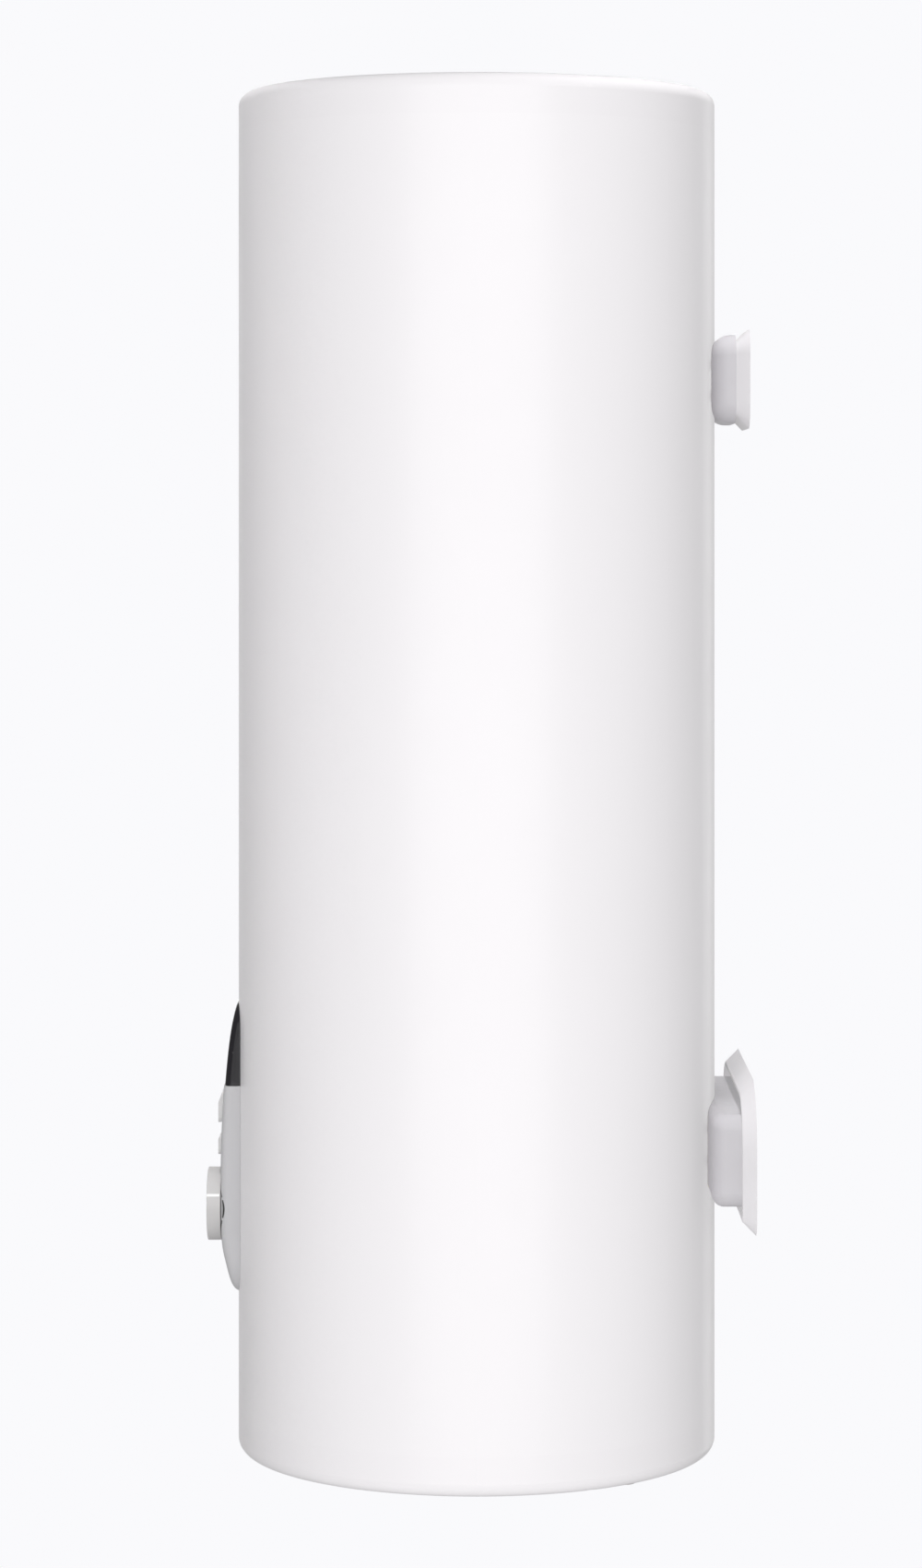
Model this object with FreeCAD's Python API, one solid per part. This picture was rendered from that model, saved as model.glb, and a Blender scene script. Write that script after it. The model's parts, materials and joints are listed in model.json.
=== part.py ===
"""Slim wall-hung electric storage water heater.

Frame: the origin is the centre of the upper wall plate's back face, on the wall plane.
+Z is up, +Y points into the wall and the control panel faces -Y. Millimetres throughout.
The tank's vertical axis stands at x = 0, y = AXIS_Y. Helpers named *_axis take heights above
the casing's lowest edge and places measured from the tank axis.
"""

import FreeCAD
import Part
import math
import os

V = FreeCAD.Vector
X_DIR = V(1, 0, 0)
Y_DIR = V(0, 1, 0)
Z_DIR = V(0, 0, 1)
OVER = 1.0                 # how far a cutter runs past the face it opens
NEAR = 0.01                # two places closer than this are the same
FAR = 60.0                 # reach of a cutter that goes right through a panel or cap

# ---------------------------------------------------------------- driving dimensions
# Overall
CASING_R = 182.0
HEIGHT = 1035.0
AXIS_Y = -206.0            # wall plane to tank axis
BOTTOM_Z = -816.0          # casing's lowest edge, below the upper wall plate's centre

# Outer shell
SHEET = 0.8
EDGE_R = 10.0
CAP_WALL = 2.0
CAP_SKIRT = 30.0
SPIGOT_WALL = 1.6
SPIGOT_LEN = 12.0
SPIGOT_GRIP = 6.0          # length of spigot bonded inside the cap's skirt

# Pressure tank
TANK_R = 160.0
TANK_WALL = 2.0
DOME_RISE = 48.0
TANK_LOW = 72.0            # lowest point of the bottom dome above the casing's edge
TANK_TOP_GAP = 24.0        # top dome to the casing's top
FOAM_FLOOR = 62.0          # underside of the foam
FOAM_SKIN_GAP = 3.0        # foam to the top cap's inner face
FOAM_SHOULDER = 14.0       # foam's chamfer under the top cap's rounded edge
FOAM_SHOULDER_DROP = 4.0

# Heater flange, under the tank
NECK_R = 52.0
NECK_BORE = 46.0
RIM_R = 75.0
RIM_T = 5.0
FLANGE_R = RIM_R - 1.0
RIM_Z = 50.0               # underside of the neck's rim
NECK_INTO_DOME = 10.0
RIM_ROOM = 6.0             # foam above the rim's bolts
GASKET_T = 3.0
PLATE_T = 4.0
FLANGE_PCD = 128.0
FLANGE_BOLTS = 6
M8_R = 4.0
M8_HEAD_R = 6.5            # half the distance across flats
M8_HEAD_H = 5.3
M8_NUT_H = 6.3
BOLT_PROUD = 3.0

# Heating elements, anode and probes on the flange plate
ELEMENT_R = 4.25
ELEMENT_HALF = 24.0        # half the distance between a hairpin's legs
ELEMENT_ROWS = (24.0, 5.0) # hairpin places behind the axis
ELEMENT_TOPS = (400.0, 350.0)
ELEMENT_BEND = 16.0
BUSHING_R = 7.5
BUSHING_H = 6.0
ELEMENT_PROUD = 2.0        # element ends below their bushings
TAB_LEN = 9.0
TAB_HALF_W = 3.0
TAB_HALF_T = 0.4
ANODE_R = 11.0
ANODE_Y = -26.0
ANODE_TOP = 470.0
ANODE_CORE_R = 2.5
ANODE_LOW_GAP = 12.0       # rod's lower end above the flange plate
ANODE_STUD_OUT = 10.0
ANODE_STUD_SHORT = 5.0     # core ends below the rod's top
ANODE_NUT_R = 4.0
ANODE_NUT_H = 4.0
POCKET_X = 28.0
POCKET_Y = -16.0
POCKET_R = 5.5
POCKET_BORE = 4.5
POCKET_TOP = 300.0
POCKET_END = 2.0
PROBE_R = 4.0
PROBE_OUT = 2.0
PROBE_TIP_GAP = 4.0

# Water connections, G1/2
PIPE_X = 45.0
PIPE_Y = 110.0
THREAD_R = 10.5
PIPE_R = 11.0
PIPE_BORE = 7.5
PIPE_DROP = 18.0           # nipple's end below the casing
PIPE_TOP = 112.0
RING_R = 17.0
RING_H = 4.0
DIP_R = 8.0
DIP_BORE = 6.8
DIP_FOOT = 6.0
DIFFUSER_WALL = 2.0
DIFFUSER_GRIP = 6.0        # how far the diffuser slips over the cold pipe
DIFFUSER_RISE = 16.0
DIFFUSER_SLOT_HALF = 2.0
DIFFUSER_SLOT_MARGIN = 3.0

# Wiring compartment
COVER_OPENING_R = 86.0
COVER_R = 95.0
COVER_DEPTH = 15.0
COVER_WALL = 2.0
COVER_SCREW_R = 90.5
COVER_SCREWS = 4
COVER_BOSS_WALL = 2.0
COVER_BOSS_H = 6.0
COVER_DISH_GAP = 3.0       # dish to the cap's opening
COVER_DISH_TAPER = 8.0
COVER_HEAD_R = 3.2
COVER_HEAD_H = 2.2
COVER_HEAD_SLOT = 0.8
SCREW_R = 1.6
SCREW_HOLE_GAP = 0.2
GLAND_Y = 130.0
GLAND_BODY_R = 12.0
GLAND_THREAD_R = 9.5
GLAND_BORE = 5.0
GLAND_DROP = 14.0
GLAND_FLANGE = 5.0
GLAND_DOME_R = 10.5
GLAND_THREAD_TOP = 12.0

# Control panel, heights above the casing's lowest edge
PANEL_HALF = 31.0
PANEL_LOW = 121.0
PANEL_TOP = 343.5
PANEL_CORNER = 22.0
PANEL_FILLET = 6.0
PANEL_WALL = 2.0
LENS_LOW = 279.5
LENS_RECESS = 0.8
SEAM = 0.3
PANEL_INTO_CASING = 20.0   # depth of the panel's block before the casing is cut away
PANEL_MARGIN = 10.0
HUB_HOLE_GAP = 0.6
BOSS_R = 3.6
BOSS_STAND = 12.0
BOSS_TO_BOARD = 6.0
WINDOW_MARGIN = 0.5        # casing's window round the electronics tray
# (height above the casing's edge, how far the panel stands in front of the casing)
PANEL_PROFILE = ((PANEL_LOW, 1.4), (128.9, 4.6), (141.5, 7.9), (155.0, 11.0), (172.0, 12.4),
                 (190.0, 12.6), (221.0, 12.6), (246.0, 11.9), (279.5, 10.1), (301.0, 8.2),
                 (318.0, 6.1), (334.0, 3.2), (PANEL_TOP, 1.0))

# Electronics
TRAY_HALF = 25.0
TRAY_LOW = 130.0
TRAY_TOP = 335.0
TRAY_BACK = 163.0          # tray's back wall, in front of the axis
TRAY_FRONT = 178.5
TRAY_WALL = 1.5
BOARD_HALF = 21.5
BOARD_LOW = 134.0
BOARD_TOP = 331.0
BOARD_FRONT = 174.0
BOARD_T = 1.6
BOARD_HOLE_Z = (138.0, 327.0)
BOARD_HOLE_X = 18.0
BOARD_HEAD_R = 2.8
BOARD_HEAD_H = 1.8
TRAY_POST_R = 3.0
TRAY_POST_GAP = 0.5
SCREW_BITE = 1.0           # how far a screw goes into the wall behind its post
# Blocks on the board: low x, high x, low z, high z, height
BOARD_BLOCKS = {
    "power_relay": (-19.0, -4.0, 147.0, 165.0, 15.0),
    "transformer": (2.0, 20.0, 147.0, 166.0, 14.0),
    "display_module": (-17.0, 17.0, 286.0, 321.0, 9.0),
}
CAPACITOR_R = 4.0
CAPACITOR_H = 12.0
CAPACITOR_X = -14.0
CAPACITOR_Z = 210.0

# Push buttons: edges, where the bevel starts, and the flange's place in front of the axis
BUTTONS = {
    "power_button": {"low": 249.6, "high": 274.2, "bevel": 264.8, "flange": 188.6},
    "mode_button": {"low": 225.2, "high": 242.8, "bevel": 236.8, "flange": 190.0},
}
BUTTON_STAND = 15.2        # face's stand-off from the casing
BUTTON_HALF = 14.0
BUTTON_CORNER = 4.0
BUTTON_GAP = 0.35
BUTTON_TOP_STAND = 11.8    # stand-off of the bevel's upper edge
BUTTON_LIP = 1.6
BUTTON_LIP_T = 1.2
STEM_HALF = 2.5
SWITCH_HALF = 3.0
SWITCH_H = 5.0
STEM_GAP = 1.2

# Knob
KNOB_Z = 186.1
KNOB_R = 27.75
KNOB_BACK = 195.0
KNOB_FRONT = 205.4
KNOB_BEVEL = 0.8
KNOB_WALL = 2.4
HUB_R = 6.0
SHAFT_R = 3.0
SHAFT_CLEARANCE = 0.05
POINTER_DEG = 69.0         # clockwise from the top, seen from the front
POINTER_HALF = 1.0
POINTER_DEPTH = 0.5
POINTER_START = 13.0
ENCODER_HALF = 6.5
ENCODER_H = 6.5
ENCODER_WELL = 4.3
ENCODER_GRIP = 4.0         # shaft's length inside the encoder
HUB_OVERLAP = 1.0
HUB_PAST_RIM = 5.0         # hub's end behind the knob's rim
POINTER_PROUD = 0.1
PANEL_SCREW_X = 17.0
SCREW_SEAT_Y = -CASING_R - 11.4
SCREW_HEAD_R = 2.6
SCREW_HEAD_T = 0.8
SCREW_HEAD_GAP = 0.3
PANEL_SCREW_BITE = 2.0

# Wall brackets: plates against the wall, collars between plate and tank
BRACKET_T = 2.0
WINDOW_GAP = 0.2           # casing and foam to the collars
FLARE = 10.0
UPPER = {
    "z": 0.0,
    "plate_half": 60.0, "up": 37.5, "down": 37.5, "corner": 18.0, "foot_corner": 18.0,
    "collar_half": 52.0, "collar_half_h": 33.5, "collar_corner": 16.0, "collar_r": 14.0,
    "collar_front": 178.0, "collar_back": FLARE, "lip": 8.0,
    "slot_x": 34.0, "stud_x": 12.0,
}
LOWER = {
    "z": -581.0,
    "plate_half": 141.0, "up": 58.0, "down": 53.0, "corner": 52.0, "foot_corner": 14.0,
    "collar_half": 119.0, "collar_half_h": 34.5, "collar_corner": 11.0, "collar_r": 9.0,
    "collar_front": 174.5, "collar_back": BRACKET_T, "lip": 0.0,
    "slot_x": 90.0, "stud_x": 30.0,
}
SLOT_R = 5.5
SLOT_LEN = 20.0
STUD_Z = 12.0
PAD_T = 3.0
PAD_HALF_W = 45.0
PAD_HALF_H = 28.0
PAD_REACH = 20.0
STUD_PROUD = 11.0          # stud's end past the collar's floor

# Cable duct through the foam
DUCT_R = 6.0
DUCT_BORE = 5.0
DUCT_Y = -171.0
CABLE_R = 2.2
CABLE_Y = -168.6
CABLE_LOW = 24.0
CABLE_TOP = 171.0
CABLE_BEND = 9.0
CABLE_START = 100.0        # cable's lower end, in front of the axis
DUCT_BELOW_FOAM = 6.0
WIRE_R = 1.5
WIRE_BEND = 6.0
EARTH_BEND = 8.0
TERMINAL_X = 14.0
TERMINAL_R = 2.6
TERMINAL_LOW = 14.0
TERMINAL_HIGH = 16.5
BLOCK_HALF = 22.0
BLOCK_FRONT = 93.0
BLOCK_BACK = 113.0
BLOCK_TOP = 18.0
WIRE_START = BLOCK_FRONT - 0.5
WIRE_LOW = 8.0


# ---------------------------------------------------------------- helpers
def cyl(radius, low, high, x=0.0, y=0.0):
    """Upright cylinder; x and y from the tank axis, heights above the casing's edge."""
    return Part.makeCylinder(radius, high - low, V(x, AXIS_Y + y, BOTTOM_Z + low), Z_DIR)


def tube(outer, inner, low, high, x=0.0, y=0.0):
    return cyl(outer, low, high, x, y).cut(cyl(inner, low - OVER, high + OVER, x, y))


def box(x0, x1, y0, y1, z0, z1):
    """Box with y from the tank axis and z above the casing's edge."""
    return Part.makeBox(x1 - x0, y1 - y0, z1 - z0, V(x0, AXIS_Y + y0, BOTTOM_Z + z0))


def cyl_y(radius, y0, y1, x, z):
    """Cylinder along Y; y from the tank axis, z above the casing's edge."""
    return Part.makeCylinder(radius, y1 - y0, V(x, AXIS_Y + y0, BOTTOM_Z + z), Y_DIR)


def hexagon(half_flats, low, high, x, y):
    """Upright hexagonal prism, placed as cyl() is."""
    corner = half_flats / math.cos(math.pi / 6)
    points = []
    for i in range(7):
        angle = math.radians(60 * i)
        points.append(V(x + corner * math.cos(angle), AXIS_Y + y + corner * math.sin(angle),
                        BOTTOM_Z + low))
    return Part.Face(Part.makePolygon(points)).extrude(V(0, 0, high - low))


def hexagon_y(half_flats, y0, y1, x, z):
    """Hexagonal prism along Y; y0 and y1 in the row's own frame, z too."""
    corner = half_flats / math.cos(math.pi / 6)
    points = []
    for i in range(7):
        angle = math.radians(60 * i)
        points.append(V(x + corner * math.cos(angle), y0, z + corner * math.sin(angle)))
    return Part.Face(Part.makePolygon(points)).extrude(V(0, y1 - y0, 0))


def fuse_all(shapes):
    result = shapes[0]
    for shape in shapes[1:]:
        result = result.fuse(shape)
    return result.removeSplitter()


def line(a, b):
    return Part.LineSegment(a, b).toShape()


def arc(a, middle, b):
    return Part.Arc(a, middle, b).toShape()


def revolve_axis(edges):
    """Solid of revolution about the tank axis from a closed outline in the XZ plane."""
    face = Part.Face(Part.Wire(edges))
    return face.revolve(V(0, AXIS_Y, 0), Z_DIR, 360)


def rz(radius, height):
    """Point of a revolved outline: radius from the tank axis, height above the casing's edge."""
    return V(radius, AXIS_Y, BOTTOM_Z + height)


def rounded_outline(half_x, z_low, z_high, radius, y, low_radius=None):
    """Rounded rectangle wire in a plane of constant y, in the row's own frame.

    low_radius rounds the two lower corners where they differ from the upper ones.
    """
    x = half_x
    r = radius
    f = radius if low_radius is None else low_radius
    k = r * (1 - math.sqrt(0.5))
    m = f * (1 - math.sqrt(0.5))
    edges = [
        line(V(-x + f, y, z_low), V(x - f, y, z_low)),
        arc(V(x - f, y, z_low), V(x - m, y, z_low + m), V(x, y, z_low + f)),
        line(V(x, y, z_low + f), V(x, y, z_high - r)),
        arc(V(x, y, z_high - r), V(x - k, y, z_high - k), V(x - r, y, z_high)),
        line(V(x - r, y, z_high), V(-x + r, y, z_high)),
        arc(V(-x + r, y, z_high), V(-x + k, y, z_high - k), V(-x, y, z_high - r)),
        line(V(-x, y, z_high - r), V(-x, y, z_low + f)),
        arc(V(-x, y, z_low + f), V(-x + m, y, z_low + m), V(-x + f, y, z_low)),
    ]
    return Part.Wire(edges)


def swept_rod(points, radius, bend):
    """Round rod along straight runs joined by tangent arcs."""
    edges = []
    start = points[0]
    for i in range(1, len(points) - 1):
        corner = points[i]
        before = (points[i - 1] - corner).normalize()
        after = (points[i + 1] - corner).normalize()
        half_turn = (math.pi - before.getAngle(after)) / 2
        reach = bend * math.tan(half_turn)
        enter = corner + before * reach
        leave = corner + after * reach
        toward = (before + after).normalize()
        centre_gap = bend / math.cos(half_turn)
        middle = corner + toward * (centre_gap - bend)
        edges.append(line(start, enter))
        edges.append(arc(enter, middle, leave))
        start = leave
    edges.append(line(start, points[-1]))
    first = (points[1] - points[0]).normalize()
    profile = Part.Wire([Part.makeCircle(radius, points[0], first)])
    return Part.Wire(edges).makePipeShell([profile], True, True)


def at_axis(x, y, z):
    return V(x, AXIS_Y + y, BOTTOM_Z + z)


# ---------------------------------------------------------------- pressure tank
SHELL_LOW = TANK_LOW + DOME_RISE
SHELL_HIGH = HEIGHT - TANK_TOP_GAP - DOME_RISE


def dome_solid(radius, rise, base, direction):
    """Solid spherical cap standing on height base; direction is +1 up or -1 down."""
    sphere_r = (radius ** 2 + rise ** 2) / (2 * rise)
    half = math.asin(radius / sphere_r) / 2
    mid_r = sphere_r * math.sin(half)
    mid_h = rise - sphere_r * (1 - math.cos(half))
    centre = rz(0, base)
    edge = rz(radius, base)
    tip = rz(0, base + direction * rise)
    middle = rz(mid_r, base + direction * mid_h)
    return revolve_axis([line(centre, edge), arc(edge, middle, tip), line(tip, centre)])


def tank_envelope(grow):
    """Solid of the whole tank, grown or shrunk by a wall."""
    return fuse_all([
        cyl(TANK_R + grow, SHELL_LOW, SHELL_HIGH),
        dome_solid(TANK_R + grow, DOME_RISE + grow, SHELL_HIGH, 1),
        dome_solid(TANK_R + grow, DOME_RISE + grow, SHELL_LOW, -1),
    ])


def pipe_places():
    return {"cold": (-PIPE_X, PIPE_Y), "hot": (PIPE_X, PIPE_Y)}


def make_tank(parts):
    parts["tank_shell"] = tube(TANK_R, TANK_R - TANK_WALL, SHELL_LOW, SHELL_HIGH)
    inner_rise = DOME_RISE - TANK_WALL
    inner_r = TANK_R - TANK_WALL
    top = dome_solid(TANK_R, DOME_RISE, SHELL_HIGH, 1)
    parts["tank_top_dome"] = top.cut(dome_solid(inner_r, inner_rise, SHELL_HIGH, 1))
    low = dome_solid(TANK_R, DOME_RISE, SHELL_LOW, -1)
    low = low.cut(dome_solid(inner_r, inner_rise, SHELL_LOW, -1))
    low = low.cut(cyl(NECK_R, 0, SHELL_LOW))
    for x, y in pipe_places().values():
        low = low.cut(cyl(PIPE_R, 0, SHELL_LOW, x, y))
    parts["tank_bottom_dome"] = low


def flange_bolt_places():
    places = []
    for i in range(FLANGE_BOLTS):
        angle = 2 * math.pi * i / FLANGE_BOLTS
        radius = FLANGE_PCD / 2
        places.append((radius * math.cos(angle), radius * math.sin(angle)))
    return places


def make_flange(parts):
    gasket_z = RIM_Z - GASKET_T
    plate_z = gasket_z - PLATE_T
    ring = fuse_all([
        tube(NECK_R, NECK_BORE, RIM_Z, TANK_LOW + NECK_INTO_DOME),
        tube(RIM_R, NECK_BORE, RIM_Z, RIM_Z + RIM_T),
    ])
    gasket = tube(FLANGE_R, NECK_BORE, gasket_z, RIM_Z)
    plate = cyl(FLANGE_R, plate_z, gasket_z)
    bolts = []
    for x, y in flange_bolt_places():
        hole = cyl(M8_R, 0, TANK_LOW, x, y)
        ring = ring.cut(hole)
        gasket = gasket.cut(hole)
        plate = plate.cut(hole)
        shank = cyl(M8_R, plate_z, RIM_Z + RIM_T + BOLT_PROUD, x, y)
        head = hexagon(M8_HEAD_R, plate_z - M8_HEAD_H, plate_z, x, y)
        bolts.append(shank.fuse(head))
    for x, y in element_legs():
        plate = plate.cut(cyl(ELEMENT_R, 0, TANK_LOW, x, y))
    for sign in (-1, 1):
        plate = plate.cut(cyl(POCKET_R, 0, TANK_LOW, sign * POCKET_X, POCKET_Y))
    plate = plate.cut(cyl(ANODE_CORE_R, 0, TANK_LOW, 0, ANODE_Y))
    parts["tank_flange_ring"] = ring
    parts["flange_gasket"] = gasket
    parts["flange_plate"] = plate
    parts["flange_bolts"] = Part.makeCompound(bolts)


def element_legs():
    legs = []
    for row in ELEMENT_ROWS:
        for sign in (-1, 1):
            legs.append((sign * ELEMENT_HALF, row))
    return legs


def make_heating(parts):
    plate_z = RIM_Z - GASKET_T - PLATE_T
    leg_end = plate_z - BUSHING_H - ELEMENT_PROUD
    rods = []
    for row, top in zip(ELEMENT_ROWS, ELEMENT_TOPS):
        points = [
            at_axis(-ELEMENT_HALF, row, leg_end),
            at_axis(-ELEMENT_HALF, row, top),
            at_axis(ELEMENT_HALF, row, top),
            at_axis(ELEMENT_HALF, row, leg_end),
        ]
        rods.append(swept_rod(points, ELEMENT_R, ELEMENT_BEND))
    parts["heating_elements"] = Part.makeCompound(rods)
    bushings = []
    tabs = []
    for x, y in element_legs():
        bushings.append(tube(BUSHING_R, ELEMENT_R, plate_z - BUSHING_H, plate_z, x, y))
        tabs.append(box(x - TAB_HALF_W, x + TAB_HALF_W, y - TAB_HALF_T, y + TAB_HALF_T,
                        leg_end - TAB_LEN, leg_end))
    parts["element_bushings"] = Part.makeCompound(bushings)
    parts["element_terminals"] = Part.makeCompound(tabs)

    anode_low = plate_z + PLATE_T + ANODE_LOW_GAP
    core_low = plate_z - ANODE_STUD_OUT
    core = cyl(ANODE_CORE_R, core_low, ANODE_TOP - ANODE_STUD_SHORT, 0, ANODE_Y)
    parts["magnesium_anode"] = tube(ANODE_R, ANODE_CORE_R, anode_low, ANODE_TOP, 0, ANODE_Y)
    parts["anode_stud"] = core
    nut = hexagon(ANODE_NUT_R, plate_z - ANODE_NUT_H, plate_z, 0, ANODE_Y)
    parts["anode_nut"] = nut.cut(core)

    pockets = []
    probes = []
    for sign in (-1, 1):
        x = sign * POCKET_X
        pocket = tube(POCKET_R, POCKET_BORE, plate_z, POCKET_TOP, x, POCKET_Y)
        end = cyl(POCKET_R, POCKET_TOP - POCKET_END, POCKET_TOP, x, POCKET_Y)
        pockets.append(pocket.fuse(end))
        probes.append(cyl(PROBE_R, plate_z - PROBE_OUT, POCKET_TOP - PROBE_TIP_GAP, x,
                          POCKET_Y))
    parts["sensor_pockets"] = Part.makeCompound(pockets)
    parts["temperature_probes"] = Part.makeCompound(probes)


# ---------------------------------------------------------------- safety cut-out
CUTOUT_X = 30.0
CUTOUT_Y = -46.0
CUTOUT_HALF_X = 20.0
CUTOUT_HALF_Y = 13.0
CUTOUT_LOW = 16.0
CUTOUT_HIGH = 37.0
RESET_R = 3.0
RESET_BORE = 3.1
RESET_OUT = 3.5
RESET_IN = 8.0
RESET_ROOM = 3.0


def make_cutout(parts):
    body = box(CUTOUT_X - CUTOUT_HALF_X, CUTOUT_X + CUTOUT_HALF_X, CUTOUT_Y - CUTOUT_HALF_Y,
               CUTOUT_Y + CUTOUT_HALF_Y, CUTOUT_LOW, CUTOUT_HIGH)
    well = cyl(RESET_BORE, CUTOUT_LOW - OVER, CUTOUT_LOW + RESET_IN + RESET_ROOM, CUTOUT_X,
               CUTOUT_Y)
    parts["safety_cutout"] = body.cut(well)
    parts["reset_button"] = cyl(RESET_R, CUTOUT_LOW - RESET_OUT, CUTOUT_LOW + RESET_IN,
                                CUTOUT_X, CUTOUT_Y)


# ---------------------------------------------------------------- water connections
def make_pipes(parts):
    for name, (x, y) in pipe_places().items():
        node = "cold_inlet" if name == "cold" else "hot_outlet"
        pipe = cyl(PIPE_R, -RING_H, PIPE_TOP, x, y)
        pipe = pipe.fuse(cyl(THREAD_R, -PIPE_DROP, -RING_H, x, y))
        parts[node] = pipe.cut(cyl(PIPE_BORE, -PIPE_DROP - OVER, PIPE_TOP + OVER, x, y))
        parts[name + "_ring"] = tube(RING_R, PIPE_R, -RING_H, 0, x, y)
    parts["inlet_diffuser"] = inlet_diffuser()
    x, y = pipe_places()["hot"]
    dip = tube(DIP_R, DIP_BORE, PIPE_TOP, SHELL_HIGH, x, y)
    foot = tube(PIPE_R, DIP_BORE, PIPE_TOP, PIPE_TOP + DIP_FOOT, x, y)
    parts["hot_dip_tube"] = dip.fuse(foot)


def inlet_diffuser():
    """Cap over the cold pipe with slots that turn the incoming water sideways."""
    x, y = pipe_places()["cold"]
    outer_r = PIPE_R + DIFFUSER_WALL
    top = PIPE_TOP + DIFFUSER_RISE
    wall = tube(outer_r, PIPE_R, PIPE_TOP - DIFFUSER_GRIP, top, x, y)
    diffuser = wall.fuse(cyl(outer_r, top, top + DIFFUSER_WALL, x, y))
    for angle in (0, 60, 120):
        slot = box(-outer_r - OVER, outer_r + OVER, -DIFFUSER_SLOT_HALF, DIFFUSER_SLOT_HALF,
                   PIPE_TOP + DIFFUSER_SLOT_MARGIN, top - DIFFUSER_SLOT_MARGIN)
        slot.rotate(at_axis(0, 0, 0), Z_DIR, angle)
        slot.translate(V(x, y, 0))
        diffuser = diffuser.cut(slot)
    return diffuser


# ---------------------------------------------------------------- outer shell
def cap_outline(radius, edge_r, skirt, wall_low):
    """Closed outline of a solid end cap standing on its flat face at height wall_low."""
    k = edge_r * (1 - math.sqrt(0.5))
    return [
        line(rz(0, wall_low), rz(radius - edge_r, wall_low)),
        arc(rz(radius - edge_r, wall_low), rz(radius - k, wall_low + k),
            rz(radius, wall_low + edge_r)),
        line(rz(radius, wall_low + edge_r), rz(radius, skirt)),
        line(rz(radius, skirt), rz(0, skirt)),
        line(rz(0, skirt), rz(0, wall_low)),
    ]


def end_cap():
    """Pressed cap with a spigot that fits inside the casing, modelled at the bottom end."""
    outer = revolve_axis(cap_outline(CASING_R, EDGE_R, CAP_SKIRT, 0))
    inner = revolve_axis(cap_outline(CASING_R - CAP_WALL, EDGE_R - CAP_WALL,
                                     CAP_SKIRT + OVER, CAP_WALL))
    spigot_r = CASING_R - SHEET
    spigot = tube(spigot_r, spigot_r - SPIGOT_WALL, CAP_SKIRT - SPIGOT_GRIP,
                  CAP_SKIRT + SPIGOT_LEN)
    return fuse_all([outer.cut(inner), spigot])


def cover_screw_places():
    places = []
    for i in range(COVER_SCREWS):
        angle = 2 * math.pi * (i + 0.5) / COVER_SCREWS
        places.append((COVER_SCREW_R * math.cos(angle), COVER_SCREW_R * math.sin(angle)))
    return places


def make_caps(parts):
    bottom = end_cap().cut(cyl(COVER_OPENING_R, -OVER, CAP_WALL + OVER))
    boss_top = CAP_WALL + COVER_BOSS_H
    for x, y in cover_screw_places():
        bottom = bottom.fuse(cyl(SCREW_R + COVER_BOSS_WALL, CAP_WALL, boss_top, x, y))
        bottom = bottom.cut(cyl(SCREW_R, -OVER, boss_top + OVER, x, y))
    for x, y in pipe_places().values():
        bottom = bottom.cut(cyl(PIPE_R, -OVER, CAP_WALL + OVER, x, y))
    bottom = bottom.cut(cyl(GLAND_THREAD_R, -OVER, CAP_WALL + OVER, 0, GLAND_Y))
    parts["bottom_cap"] = bottom
    top = end_cap()
    middle = at_axis(0, 0, HEIGHT / 2)
    top.rotate(middle, X_DIR, 180)
    parts["top_cap"] = top


def make_service_cover(parts):
    dish_r = COVER_OPENING_R - COVER_DISH_GAP
    foot_r = dish_r - COVER_DISH_TAPER
    floor_z = -COVER_DEPTH
    rim = cyl(COVER_R, -COVER_WALL, 0)
    dish = Part.makeCone(foot_r, dish_r, COVER_DEPTH - COVER_WALL, at_axis(0, 0, floor_z),
                         Z_DIR)
    hollow = Part.makeCone(foot_r - COVER_WALL, dish_r - COVER_WALL, COVER_DEPTH,
                           at_axis(0, 0, floor_z + COVER_WALL), Z_DIR)
    cover = rim.fuse(dish).cut(hollow)
    head_low = -COVER_WALL - COVER_HEAD_H
    slot_half = COVER_HEAD_SLOT / 2
    screws = []
    for x, y in cover_screw_places():
        cover = cover.cut(cyl(SCREW_R + SCREW_HOLE_GAP, -COVER_WALL - OVER, OVER, x, y))
        head = cyl(COVER_HEAD_R, head_low, -COVER_WALL, x, y)
        slot = box(x - slot_half, x + slot_half, y - COVER_HEAD_R - OVER,
                   y + COVER_HEAD_R + OVER, head_low - OVER, head_low + COVER_HEAD_SLOT)
        shank = cyl(SCREW_R, -COVER_WALL, CAP_WALL + COVER_BOSS_H - OVER, x, y)
        screws.append(head.cut(slot).fuse(shank))
    parts["service_cover"] = cover
    parts["cover_screws"] = Part.makeCompound(screws)


def front_window(margin):
    return box(-TRAY_HALF - margin, TRAY_HALF + margin, -CASING_R - OVER,
               -TRAY_BACK + margin, TRAY_LOW - margin, TRAY_TOP + margin)


def make_casing(parts):
    casing = tube(CASING_R, CASING_R - SHEET, CAP_SKIRT, HEIGHT - CAP_SKIRT)
    casing = casing.cut(front_window(WINDOW_MARGIN))
    for bracket in (UPPER, LOWER):
        casing = casing.cut(collar_block(bracket, -WINDOW_GAP))
    parts["outer_casing"] = casing


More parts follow.
